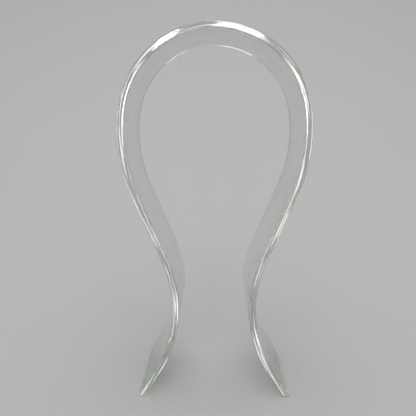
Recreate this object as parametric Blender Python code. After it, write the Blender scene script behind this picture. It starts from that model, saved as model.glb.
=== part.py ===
"""Headphone stand: one strip of clear acrylic sheet, heat-bent into a keyhole loop on two splayed feet.

Units are metres. +Z is up, the polished front edge of the strip faces -Y, and the origin lies at floor level,
midway between the feet. The strip follows its mid line, the line that keeps its length when a sheet is bent:
from the top of the loop down one side, in tangent bends and straights, and the other side mirrors it.
"""
import math

import bmesh
import bpy
from mathutils import Vector

# Sheet that the strip is cut from
SHEET_THICKNESS = 0.0045
STRIP_WIDTH = 0.060
ARRIS_RADIUS = 0.0004

# Bends and straights of one side, along the mid line from the top of the loop to the foot
CROWN_RADIUS = 0.0570
CROWN_TURN = math.radians(81.0)
SIDE_RADIUS = 0.0970
FLANK_LEAN = math.radians(23.0)
FLANK_LENGTH = 0.0465
WAIST_RADIUS = 0.0824
FOOT_LEAN = math.radians(31.5)
FOOT_LENGTH = 0.02175

# Fineness of the facets: the largest turn between two stations of a bend, and the rounding of an arris
BEND_STEP = math.radians(4.0)
ARRIS_SEGMENTS = 2
SHARP_ANGLE = math.radians(30.0)

# Clear cast acrylic with a faint green cast
ACRYLIC_COLOUR = (0.90, 0.95, 0.93, 1.0)
ACRYLIC_ROUGHNESS = 0.04
ACRYLIC_IOR = 1.49


class MidLine:
    """Stations of the mid line in the XZ plane. Each has its place and the direction that the strip runs in."""

    def __init__(self, place, heading):
        self.place = Vector(place)
        self.heading = Vector(heading)
        self.stations = [(self.place.copy(), self.heading.copy())]

    def outward(self):
        """Unit vector from the mid line towards the outside of the keyhole."""
        return Vector((-self.heading.y, self.heading.x))

    def straight(self, length):
        self.place = self.place + self.heading * length
        self.stations.append((self.place.copy(), self.heading.copy()))

    def bend(self, radius, turn):
        """Follow an arc. A positive turn curls inwards, round the loop, and a negative one outwards."""
        centre = self.place - self.outward() * math.copysign(radius, turn)
        arm = self.place - centre
        start_heading = self.heading
        steps = max(1, math.ceil(abs(turn) / BEND_STEP - 1e-6))
        for step in range(1, steps + 1):
            angle = -turn * step / steps
            self.place = centre + turned(arm, angle)
            self.heading = turned(start_heading, angle)
            self.stations.append((self.place.copy(), self.heading.copy()))


def turned(vector, angle):
    """A vector in the XZ plane, turned counter-clockwise as seen from the front."""
    cosine, sine = math.cos(angle), math.sin(angle)
    return Vector((vector.x * cosine - vector.y * sine, vector.x * sine + vector.y * cosine))


def side_mid_line():
    """Mid line of the right side, moved so that its foot ends at floor level."""
    line = MidLine((0.0, 0.0), (1.0, 0.0))
    line.bend(CROWN_RADIUS, CROWN_TURN)
    line.bend(SIDE_RADIUS, math.pi / 2 - CROWN_TURN + FLANK_LEAN)
    line.straight(FLANK_LENGTH)
    line.bend(WAIST_RADIUS, -(FLANK_LEAN + FOOT_LEAN))
    line.straight(FOOT_LENGTH)
    lift = Vector((0.0, -line.place.y))
    return [(place + lift, heading) for place, heading in line.stations]


def rungs():
    """Outer and inner points of the sheet from the left foot, over the loop, to the right foot."""
    right = []
    for place, heading in side_mid_line():
        half = Vector((-heading.y, heading.x)) * (SHEET_THICKNESS / 2)
        right.append((place + half, place - half))

    # The foot is cut level: both of its corners slide along the strip to floor level
    heading = side_mid_line()[-1][1]
    right[-1] = tuple(corner - heading * (corner.y / heading.y) for corner in right[-1])

    left = [(Vector((-outer.x, outer.y)), Vector((-inner.x, inner.y))) for outer, inner in right[:0:-1]]
    return left + right


def acrylic():
    material = bpy.data.materials.new("clear_acrylic")
    material.use_nodes = True
    shader = material.node_tree.nodes["Principled BSDF"]
    shader.inputs["Base Color"].default_value = ACRYLIC_COLOUR
    shader.inputs["Metallic"].default_value = 0.0
    shader.inputs["Roughness"].default_value = ACRYLIC_ROUGHNESS
    shader.inputs["IOR"].default_value = ACRYLIC_IOR
    shader.inputs["Transmission Weight"].default_value = 1.0
    return material


def acrylic_stand():
    """The bent strip: its edge face, drawn as rungs in the front plane, extruded by the width of the strip."""
    form = bmesh.new()
    front = -STRIP_WIDTH / 2
    edge_rows = [[form.verts.new((point.x, front, point.y)) for point in rung] for rung in rungs()]
    edge_faces = []
    for (outer_a, inner_a), (outer_b, inner_b) in zip(edge_rows, edge_rows[1:]):
        edge_faces.append(form.faces.new((outer_a, inner_a, inner_b, outer_b)))

    extruded = bmesh.ops.extrude_face_region(form, geom=edge_faces)["geom"]
    back_verts = [item for item in extruded if isinstance(item, bmesh.types.BMVert)]
    bmesh.ops.translate(form, verts=back_verts, vec=(0.0, STRIP_WIDTH, 0.0))
    bmesh.ops.recalc_face_normals(form, faces=form.faces)

    mesh = bpy.data.meshes.new("acrylic_stand")
    form.to_mesh(mesh)
    form.free()
    mesh.shade_smooth()
    mesh.set_sharp_from_angle(angle=SHARP_ANGLE)
    mesh.materials.append(acrylic())

    stand = bpy.data.objects.new("acrylic_stand", mesh)
    bpy.context.collection.objects.link(stand)
    arris = stand.modifiers.new("flame_polished_arris", "BEVEL")
    arris.limit_method = "ANGLE"
    arris.angle_limit = SHARP_ANGLE
    arris.width = ARRIS_RADIUS
    arris.segments = ARRIS_SEGMENTS
    return stand


for old in list(bpy.data.objects):
    bpy.data.objects.remove(old, do_unlink=True)

acrylic_stand()
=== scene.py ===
import math

import bpy
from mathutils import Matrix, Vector


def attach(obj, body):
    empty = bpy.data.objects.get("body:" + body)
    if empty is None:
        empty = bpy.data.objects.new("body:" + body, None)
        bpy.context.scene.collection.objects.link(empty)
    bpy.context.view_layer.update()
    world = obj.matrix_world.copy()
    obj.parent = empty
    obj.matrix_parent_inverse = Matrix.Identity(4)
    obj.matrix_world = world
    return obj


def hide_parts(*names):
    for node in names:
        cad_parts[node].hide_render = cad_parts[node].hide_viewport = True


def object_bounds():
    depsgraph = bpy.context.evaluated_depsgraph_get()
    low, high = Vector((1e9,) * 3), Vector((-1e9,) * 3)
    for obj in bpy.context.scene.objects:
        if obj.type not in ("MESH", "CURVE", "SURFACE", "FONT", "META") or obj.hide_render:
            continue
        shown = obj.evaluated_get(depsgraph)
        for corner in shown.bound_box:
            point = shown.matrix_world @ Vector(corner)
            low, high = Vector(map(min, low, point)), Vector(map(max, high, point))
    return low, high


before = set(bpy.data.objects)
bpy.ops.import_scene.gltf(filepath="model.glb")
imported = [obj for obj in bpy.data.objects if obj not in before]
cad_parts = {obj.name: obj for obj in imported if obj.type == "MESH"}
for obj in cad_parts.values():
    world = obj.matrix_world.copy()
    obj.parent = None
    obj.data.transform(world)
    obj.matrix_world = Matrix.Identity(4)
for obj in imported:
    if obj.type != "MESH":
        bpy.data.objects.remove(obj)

cad_low, cad_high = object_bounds()

# Bent strip
# The whole stand is one strip of clear cast acrylic, sawn from 3/16 inch sheet and bent hot round formers
# into a keyhole loop. Its long edges are flame-polished, which melts the arrises round. The feet are sawn
# off level, so that they stand flat, and nothing is fixed to the strip.
MM = 0.001
SHEET_THICKNESS = 4.5 * MM
STRIP_WIDTH = cad_high.y - cad_low.y
ARRIS_RADIUS = 0.8 * MM
ARRIS_SEGMENTS = 6
CROWN_RADIUS = 57.0 * MM
CROWN_TURN = math.radians(81.0)
SIDE_RADIUS = 97.0 * MM
FLANK_LEAN = math.radians(23.0)
FLANK_LENGTH = 46.5 * MM
WAIST_RADIUS = 82.4 * MM
FOOT_LEAN = math.radians(31.5)
FOOT_OVERRUN = 30.0 * MM
SOLE_ROUNDING = 0.5 * MM
SOLE_SEGMENTS = 4
FACETS_PER_DEGREE = 1.0
SMOOTH_UP_TO = math.radians(35.0)
MERGE_DISTANCE = 0.01 * MM
FAVOUR_LARGE_FACES = 100

stations = []


def heading(lean):
    """Direction that the strip runs down in. A lean is its angle from plumb, positive towards the middle."""
    return Vector((-math.sin(lean), 0.0, -math.cos(lean)))


def outward(lean):
    """Direction from the mid line of the strip to the outside of the loop."""
    return Vector((math.cos(lean), 0.0, -math.sin(lean)))


def turn(radius, lean_before, lean_after, place, inwards):
    """Spins the strip's open end round a former, notes its stations and gives its mid line's new end."""
    reach = radius if inwards else -radius
    centre = place - outward(lean_before) * reach
    angle = lean_after - lean_before
    steps = max(2, round(abs(math.degrees(angle)) * FACETS_PER_DEGREE))
    bpy.ops.mesh.spin(steps=steps, angle=-angle, center=centre, axis=(0.0, 1.0, 0.0))
    along = stations[-1][0]
    for step in range(1, steps + 1):
        lean = lean_before + angle * step / steps
        stations.append((along + abs(angle) * radius * step / steps, centre + outward(lean) * reach, lean))
    return stations[-1][1]


def run_down(length, lean, place):
    """Extrudes the strip's open end straight on, notes its station and gives its mid line's new end."""
    step = heading(lean) * length
    bpy.ops.mesh.extrude_region_move(TRANSFORM_OT_translate={"value": step})
    stations.append((stations[-1][0] + length, place + step, lean))
    return place + step


# The cross-section of the sheet stands at the top of the loop, as a ring of edges with rounded corners
bpy.ops.object.select_all(action="DESELECT")
crown_top = Vector((0.0, 0.0, cad_high.z - SHEET_THICKNESS / 2))
crown_lean = -math.pi / 2
side_lean = crown_lean + CROWN_TURN
bpy.ops.mesh.primitive_plane_add(size=1.0, location=(0.0, 0.0, 0.0))
strip = bpy.context.object
strip.name = "bent_acrylic_strip"
bpy.ops.object.mode_set(mode="EDIT")
bpy.ops.transform.resize(value=(SHEET_THICKNESS, STRIP_WIDTH, 1.0))
bpy.ops.transform.rotate(value=math.pi / 2, orient_axis="Y", center_override=(0.0, 0.0, 0.0))
bpy.ops.transform.translate(value=crown_top)
bpy.ops.mesh.bevel(offset=ARRIS_RADIUS, segments=ARRIS_SEGMENTS, affect="VERTICES")
bpy.ops.mesh.delete(type="ONLY_FACE")
bpy.ops.mesh.select_all(action="SELECT")

# The ring is drawn down the right side in tangent bends and straights, and the overrun is sawn off level
stations.append((0.0, crown_top, crown_lean))
end = turn(CROWN_RADIUS, crown_lean, side_lean, crown_top, inwards=True)
end = turn(SIDE_RADIUS, side_lean, FLANK_LEAN, end, inwards=True)
end = run_down(FLANK_LENGTH, FLANK_LEAN, end)
end = turn(WAIST_RADIUS, FLANK_LEAN, -FOOT_LEAN, end, inwards=False)
end = run_down(FOOT_OVERRUN, -FOOT_LEAN, end)
bpy.ops.mesh.select_all(action="SELECT")
bpy.ops.mesh.bisect(plane_co=(0.0, 0.0, 0.0), plane_no=(0.0, 0.0, 1.0), use_fill=True, clear_inner=True)
bpy.ops.mesh.bevel(offset=SOLE_ROUNDING, segments=SOLE_SEGMENTS, affect="EDGES", clamp_overlap=False)
bpy.ops.object.mode_set(mode="OBJECT")

# The left side mirrors it, and both meet in one closed skin at the top of the loop
mirror = strip.modifiers.new("other_side", "MIRROR")
mirror.merge_threshold = MERGE_DISTANCE
bpy.ops.object.modifier_apply(modifier=mirror.name)
bpy.ops.object.mode_set(mode="EDIT")
bpy.ops.mesh.select_all(action="SELECT")
bpy.ops.mesh.remove_doubles(threshold=MERGE_DISTANCE)
bpy.ops.mesh.normals_make_consistent(inside=False)
bpy.ops.object.mode_set(mode="OBJECT")
bpy.ops.object.shade_smooth_by_angle(angle=SMOOTH_UP_TO)
flats = strip.modifiers.new("flat_faces_stay_flat", "WEIGHTED_NORMAL")
flats.keep_sharp = True
flats.weight = FAVOUR_LARGE_FACES
bpy.ops.object.modifier_apply(modifier=flats.name)

# Each point's place in the strip before it was bent: along it from the top of the loop, outwards from its
# mid line, and over its width. The finish follows these, because saw and flame went along the edge.
places = []
for vertex in strip.data.vertices:
    right = Vector((abs(vertex.co.x), 0.0, vertex.co.z))
    along, place, lean = min(stations, key=lambda station: (right - station[1]).length_squared)
    offset = right - place
    along += offset.dot(heading(lean))
    places += [math.copysign(along, vertex.co.x), offset.dot(outward(lean)), vertex.co.y]
strip_place = strip.data.attributes.new("strip_place", "FLOAT_VECTOR", "POINT")
strip_place.data.foreach_set("vector", places)


def linear(hex_colour):
    """An sRGB hex colour as linear RGBA."""
    channels = [int(hex_colour[i:i + 2], 16) / 255 for i in (1, 3, 5)]
    return [c / 12.92 if c <= 0.04045 else ((c + 0.055) / 1.055) ** 2.4 for c in channels] + [1.0]


def add(tree, kind, settings=(), links=()):
    """Adds a node with its settings, by name or socket number, and its links: (its input, node, output)."""
    node = tree.nodes.new(kind)
    for name, value in dict(settings).items():
        if isinstance(name, int) or name in node.inputs:
            node.inputs[name].default_value = value
        else:
            setattr(node, name, value)
    for name, source, output in links:
        tree.links.new(source.outputs[output], node.inputs[name])
    return node


# Cast acrylic, polished: clear and as glossy as glass, with a faint green depth where light runs a long way
# inside it. The edges keep a slight ripple along the saw's path, which draws their glints out in streaks,
# and the saw's pale haze on its crests. The flame fades both out over the arrises. Hot bending leaves a
# wide, shallow wave in the faces. A mark starts and is full at a level of its noise, which runs from 0 to 1.
FACE_WAVE = 22.0 * MM
FACE_WAVE_HEIGHT = 0.05 * MM
FACE_WAVE_DETAIL = 1.0
RIPPLE_ALONG = 45.0 * MM
RIPPLE_ACROSS = 1.1 * MM
RIPPLE_HEIGHT = 0.026 * MM
RIPPLE_DETAIL = 2.0
RIPPLE_FADES_AT = math.radians(30.0)
HAZE_STARTS_AT = 0.52
HAZE_FULL_AT = 0.62
HAZE_CLEARNESS = 0.3
EDGE_ROUGHNESS = 0.06
ACRYLIC_COLOUR = "#eceeec"
DEPTH_COLOUR = "#59907f"
DEPTH_DENSITY = 2.6
ACRYLIC_IOR = 1.49
acrylic = bpy.data.materials.new("cast_acrylic_polished")
acrylic.use_nodes = True
tree = acrylic.node_tree
tree.nodes.clear()
unbent = add(tree, "ShaderNodeAttribute", {"attribute_name": "strip_place"})
axes = add(tree, "ShaderNodeSeparateXYZ", (), [("Vector", unbent, "Vector")])
from_middle = add(tree, "ShaderNodeMath", {"operation": "ABSOLUTE"}, [(0, axes, "Z")])
on_edge = add(tree, "ShaderNodeMapRange", {
    "From Min": STRIP_WIDTH / 2 - ARRIS_RADIUS * (1 - math.cos(RIPPLE_FADES_AT)),
    "From Max": STRIP_WIDTH / 2,
}, [("Value", from_middle, "Value")])
ripple_place = add(tree, "ShaderNodeMapping", {
    "Scale": (1 / RIPPLE_ALONG, 1 / RIPPLE_ACROSS, 0.0),
}, [("Vector", unbent, "Vector")])
ripple = add(tree, "ShaderNodeTexNoise", {
    "Scale": 1.0, "Detail": RIPPLE_DETAIL,
}, [("Vector", ripple_place, "Vector")])
wave = add(tree, "ShaderNodeTexNoise", {
    "Scale": 1 / FACE_WAVE, "Detail": FACE_WAVE_DETAIL,
}, [("Vector", unbent, "Vector")])
wave_height = add(tree, "ShaderNodeMath", {"operation": "MULTIPLY", 1: FACE_WAVE_HEIGHT}, [(0, wave, "Fac")])
ripple_height = add(tree, "ShaderNodeMath", {
    "operation": "MULTIPLY", 1: RIPPLE_HEIGHT,
}, [(0, ripple, "Fac")])
height = add(tree, "ShaderNodeMix", {"data_type": "FLOAT"}, [
    ("Factor", on_edge, "Result"),
    ("A", wave_height, "Value"),
    ("B", ripple_height, "Value"),
])
relief = add(tree, "ShaderNodeBump", {"Strength": 1.0, "Distance": 1.0}, [("Height", height, "Result")])

# Wear of the polish: long, faint wipe marks run down the faces, and fine hairlines cross the top of the
# loop, where it is rubbed in use. Real hairlines are under 0.1 mm wide, and are drawn at 0.5 mm to show.
WIPE_LENGTH = 60.0 * MM
WIPE_WIDTH = 4.0 * MM
WIPE_STARTS_AT = 0.5
WIPE_FULL_AT = 0.75
WIPE_ROUGHNESS = 0.10
WIPE_DETAIL = 3.0
RUB_WIDTH = 0.5 * MM
RUB_LENGTH = 25.0 * MM
RUB_STARTS_AT = 0.64
RUB_FULL_AT = 0.74
RUB_REACH = 50.0 * MM
RUB_FULL_WITHIN = RUB_REACH / 3
RUB_ROUGHNESS = 0.35
RUB_DETAIL = 2.0
wipe_place = add(tree, "ShaderNodeMapping", {
    "Scale": (1 / WIPE_LENGTH, 0.0, 1 / WIPE_WIDTH),
}, [("Vector", unbent, "Vector")])
wipes = add(tree, "ShaderNodeTexNoise", {
    "Scale": 1.0, "Detail": WIPE_DETAIL,
}, [("Vector", wipe_place, "Vector")])
wiped = add(tree, "ShaderNodeMapRange", {
    "From Min": WIPE_STARTS_AT, "From Max": WIPE_FULL_AT, "To Max": WIPE_ROUGHNESS,
}, [("Value", wipes, "Fac")])
rub_place = add(tree, "ShaderNodeMapping", {
    "Scale": (1 / RUB_WIDTH, 0.0, 1 / RUB_LENGTH),
}, [("Vector", unbent, "Vector")])
rubs = add(tree, "ShaderNodeTexNoise", {
    "Scale": 1.0, "Detail": RUB_DETAIL,
}, [("Vector", rub_place, "Vector")])
hairlines = add(tree, "ShaderNodeMapRange", {
    "From Min": RUB_STARTS_AT, "From Max": RUB_FULL_AT,
}, [("Value", rubs, "Fac")])
from_top = add(tree, "ShaderNodeMath", {"operation": "ABSOLUTE"}, [(0, axes, "X")])
near_top = add(tree, "ShaderNodeMapRange", {
    "From Min": RUB_REACH, "From Max": RUB_FULL_WITHIN,
}, [("Value", from_top, "Value")])
outer_face = add(tree, "ShaderNodeMath", {"operation": "GREATER_THAN", 1: 0.0}, [(0, axes, "Y")])
rubbed_side = add(tree, "ShaderNodeMath", {"operation": "MULTIPLY"}, [
    (0, near_top, "Result"), (1, outer_face, "Value"),
])
rubbed = add(tree, "ShaderNodeMath", {"operation": "MULTIPLY"}, [
    (0, hairlines, "Result"), (1, rubbed_side, "Value"),
])
face_gloss = add(tree, "ShaderNodeMath", {"operation": "MULTIPLY_ADD", 1: RUB_ROUGHNESS}, [
    (0, rubbed, "Value"), (2, wiped, "Result"),
])
gloss = add(tree, "ShaderNodeMix", {"data_type": "FLOAT", "B": EDGE_ROUGHNESS}, [
    ("Factor", on_edge, "Result"), ("A", face_gloss, "Value"),
])
haze = add(tree, "ShaderNodeMapRange", {
    "From Min": HAZE_STARTS_AT, "From Max": HAZE_FULL_AT, "To Min": 1.0, "To Max": HAZE_CLEARNESS,
}, [("Value", ripple, "Fac")])
clearness = add(tree, "ShaderNodeMix", {"data_type": "FLOAT", "A": 1.0}, [
    ("Factor", on_edge, "Result"), ("B", haze, "Result"),
])
shader = add(tree, "ShaderNodeBsdfPrincipled", {
    "Base Color": linear(ACRYLIC_COLOUR), "IOR": ACRYLIC_IOR,
}, [
    ("Roughness", gloss, "Result"),
    ("Transmission Weight", clearness, "Result"),
    ("Normal", relief, "Normal"),
])
depth = add(tree, "ShaderNodeVolumeAbsorption", {"Color": linear(DEPTH_COLOUR), "Density": DEPTH_DENSITY})
add(tree, "ShaderNodeOutputMaterial", (), [("Surface", shader, "BSDF"), ("Volume", depth, "Volume")])
strip.data.materials.append(acrylic)

# Cast acrylic, as sawn: the soles keep the pale bloom of the saw, because they aren't polished. Saw lines
# run across the foot. They are about 0.2 mm apart, and are drawn 0.8 mm apart so that they show.
SAW_PITCH = 0.8 * MM
SAW_LENGTH = 30.0 * MM
SAW_DEPTH = 0.02 * MM
SAW_PALE = "#f8fbf8"
SAW_DULL = "#ecf2ed"
SAW_SMOOTHEST = 0.5
SAW_ROUGHEST = 0.7
SAW_DETAIL = 2.0
SOLE_FACES_DOWN = -0.95
SOLE_LEVEL = 0.1 * MM

# Sockets of a Mix node for colours, by number, because its names repeat
COLOUR_A = 6
COLOUR_B = 7
COLOUR_OUT = 2
sawn = bpy.data.materials.new("cast_acrylic_sawn")
sawn.use_nodes = True
tree = sawn.node_tree
tree.nodes.clear()
where = add(tree, "ShaderNodeTexCoord")
saw_place = add(tree, "ShaderNodeMapping", {
    "Scale": (1 / SAW_PITCH, 1 / SAW_LENGTH, 0.0),
}, [("Vector", where, "Object")])
saw_lines = add(tree, "ShaderNodeTexNoise", {
    "Scale": 1.0, "Detail": SAW_DETAIL,
}, [("Vector", saw_place, "Vector")])
bloom = add(tree, "ShaderNodeMix", {
    "data_type": "RGBA", COLOUR_A: linear(SAW_DULL), COLOUR_B: linear(SAW_PALE),
}, [("Factor", saw_lines, "Fac")])
saw_gloss = add(tree, "ShaderNodeMapRange", {
    "To Min": SAW_SMOOTHEST, "To Max": SAW_ROUGHEST,
}, [("Value", saw_lines, "Fac")])
saw_height = add(tree, "ShaderNodeMath", {"operation": "MULTIPLY", 1: SAW_DEPTH}, [(0, saw_lines, "Fac")])
saw_relief = add(tree, "ShaderNodeBump", {
    "Strength": 1.0, "Distance": 1.0,
}, [("Height", saw_height, "Value")])
shader = add(tree, "ShaderNodeBsdfPrincipled", {"IOR": ACRYLIC_IOR}, [
    ("Base Color", bloom, COLOUR_OUT), ("Roughness", saw_gloss, "Result"), ("Normal", saw_relief, "Normal"),
])
add(tree, "ShaderNodeOutputMaterial", (), [("Surface", shader, "BSDF")])
strip.data.materials.append(sawn)
for face in strip.data.polygons:
    if face.normal.z < SOLE_FACES_DOWN and face.center.z < SOLE_LEVEL:
        face.material_index = 1

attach(strip, "root")
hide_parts("acrylic_stand")

# Floor
# A sheet of pale studio paper, laid flat under the stand and swept up behind it in one wide curve. It keeps
# a small gap to the soles, and isn't part of the object.
FLOOR_REACH = 8.0
FLOOR_GAP = 0.2 * MM
SWEEP_START = 0.10
SWEEP_RADIUS = 0.60
SWEEP_STEPS = 48
SWEEP_HEIGHT = 6.0
PAPER_COLOUR = "#c6c6c5"
PAPER_ROUGHNESS = 0.7
bpy.ops.object.select_all(action="DESELECT")
bpy.ops.mesh.primitive_plane_add(size=1.0, location=(0.0, 0.0, 0.0))
floor = bpy.context.object
floor.name = "studio_floor"
bpy.ops.object.mode_set(mode="EDIT")
bpy.ops.transform.resize(value=(2 * FLOOR_REACH, FLOOR_REACH + SWEEP_START, 1.0))
bpy.ops.transform.translate(value=(0.0, (SWEEP_START - FLOOR_REACH) / 2, -FLOOR_GAP))
bpy.ops.mesh.select_mode(type="EDGE")
bpy.ops.mesh.select_all(action="DESELECT")
bpy.ops.object.mode_set(mode="OBJECT")
for edge in floor.data.edges:
    edge.select = all(floor.data.vertices[i].co.y > 0.0 for i in edge.vertices)
bpy.ops.object.mode_set(mode="EDIT")
sweep_centre = (0.0, SWEEP_START, SWEEP_RADIUS)
bpy.ops.mesh.spin(steps=SWEEP_STEPS, angle=-math.pi / 2, center=sweep_centre, axis=(1.0, 0.0, 0.0))
bpy.ops.mesh.extrude_region_move(TRANSFORM_OT_translate={"value": (0.0, 0.0, SWEEP_HEIGHT)})
bpy.ops.object.mode_set(mode="OBJECT")
bpy.ops.object.shade_smooth_by_angle(angle=SMOOTH_UP_TO)
paper = bpy.data.materials.new("pale_paper")
paper.use_nodes = True
paper_shader = paper.node_tree.nodes["Principled BSDF"]
paper_shader.inputs["Base Color"].default_value = linear(PAPER_COLOUR)
paper_shader.inputs["Roughness"].default_value = PAPER_ROUGHNESS
floor.data.materials.append(paper)

# Light
# Soft studio light: a room brighter overhead, a wide panel above the front and one at the ceiling. Two small
# lamps far in front streak the crown. On the acrylic alone fall a tall strip on each side, which draws the
# arrises as bright lines, and a low fill, kept out of reflections, which lights the haze of the edges.
ROOM_COLOUR = "#fdfdfb"
HORIZON_GLOW = 0.22
OVERHEAD_GLOW = 0.42
OVERHEAD_FROM = 0.7
world = bpy.data.worlds.new("studio_room")
bpy.context.scene.world = world
world.use_nodes = True
room = world.node_tree
background = room.nodes["Background"]
background.inputs["Color"].default_value = linear(ROOM_COLOUR)
look = add(room, "ShaderNodeTexCoord")
slope = add(room, "ShaderNodeSeparateXYZ", (), [("Vector", look, "Generated")])
glow = add(room, "ShaderNodeMapRange", {
    "From Max": OVERHEAD_FROM, "To Min": HORIZON_GLOW, "To Max": OVERHEAD_GLOW,
}, [("Value", slope, "Z")])
room.links.new(glow.outputs["Result"], background.inputs["Strength"])


def softbox(name, place, target, width, height, watts, spread=180.0):
    """A rectangular lamp that faces a target. Its spread, in degrees, is how wide its light fans out."""
    lamp = bpy.data.lights.new(name, "AREA")
    lamp.shape = "RECTANGLE"
    lamp.size = width
    lamp.size_y = height
    lamp.energy = watts
    lamp.spread = math.radians(spread)
    box = bpy.data.objects.new(name, lamp)
    bpy.context.collection.objects.link(box)
    box.location = place
    box.rotation_euler = (Vector(target) - Vector(place)).to_track_quat("-Z", "Y").to_euler()
    return box


loop_top = (0.0, 0.0, 0.23)
loop_middle = (0.0, 0.0, 0.15)
waist = (0.0, 0.0, 0.1)
behind_waist = (0.0, 0.1, 0.1)
feet = (0.0, 0.0, 0.03)
softbox("key_panel", (0.0, -1.05, 1.5), waist, width=1.2, height=0.8, watts=6.0)
softbox("ceiling_panel", (0.0, 0.0, 1.8), behind_waist, width=2.2, height=1.6, watts=14.0)
softbox("far_lamp_right", (0.143, -2.3, 0.69), loop_top, width=0.26, height=0.14, watts=2.4)
softbox("far_lamp_left", (-0.26, -2.3, 0.64), loop_top, width=0.15, height=0.14, watts=1.8)

# The lamps that fall on the acrylic alone. The two at the sides mirror each other.
EDGE_LAMP_SPREAD = 60.0
SIDE_LAMP_ASIDE = 1.1
SIDE_LAMP_FORWARD = 0.42
SIDE_LAMP_HEIGHT = 0.45
low_fill = softbox(
    "low_fill", (0.0, -1.6, 0.15), feet, width=0.5, height=0.3, watts=2.0, spread=EDGE_LAMP_SPREAD,
)
low_fill.visible_glossy = False
low_fill.visible_transmission = False
edge_lamps = [low_fill]
for name, aside in (("left_strip", -SIDE_LAMP_ASIDE), ("right_strip", SIDE_LAMP_ASIDE)):
    place = (aside, -SIDE_LAMP_FORWARD, SIDE_LAMP_HEIGHT)
    edge_lamps.append(softbox(
        name, place, loop_middle, width=0.3, height=1.3, watts=1.1, spread=EDGE_LAMP_SPREAD,
    ))
acrylic_only = bpy.data.collections.new("lit_by_edge_lamps")
acrylic_only.objects.link(strip)
for lamp in edge_lamps:
    lamp.light_linking.receiver_collection = acrylic_only

# Light runs along inside the sheet, thrown from face to face, so its paths are long
LONGEST_PATH = 32
LONGEST_INSIDE = 24
light_paths = bpy.context.scene.cycles
light_paths.max_bounces = LONGEST_PATH
light_paths.glossy_bounces = LONGEST_INSIDE
light_paths.transmission_bounces = LONGEST_INSIDE

# Camera
# The photograph's viewing angle: close in front of the stand, level with the middle of the loop, tilted down
# and turned a touch to the left, with the lens of a phone's main camera.
FOCAL_PIXELS = 450.0
FRAME_PIXELS = 416.0
SENSOR_WIDTH = 36.0
CAMERA_FROM_FRONT = 0.27667
CAMERA_ASIDE = -0.0006
CAMERA_HEIGHT = 0.17889
TILT_DOWN = math.radians(10.236)
TURN_LEFT = math.radians(0.694)
NEAREST_SEEN = 0.01
camera_data = bpy.data.cameras.new("photo_view")
camera_data.sensor_width = SENSOR_WIDTH
camera_data.lens = SENSOR_WIDTH * FOCAL_PIXELS / FRAME_PIXELS
camera_data.clip_start = NEAREST_SEEN
camera = bpy.data.objects.new("photo_view", camera_data)
bpy.context.collection.objects.link(camera)
camera.location = (CAMERA_ASIDE, cad_low.y - CAMERA_FROM_FRONT, CAMERA_HEIGHT)
camera.rotation_euler = (math.pi / 2 - TILT_DOWN, 0.0, TURN_LEFT)
bpy.context.scene.camera = camera
bpy.context.scene.view_settings.view_transform = "Standard"
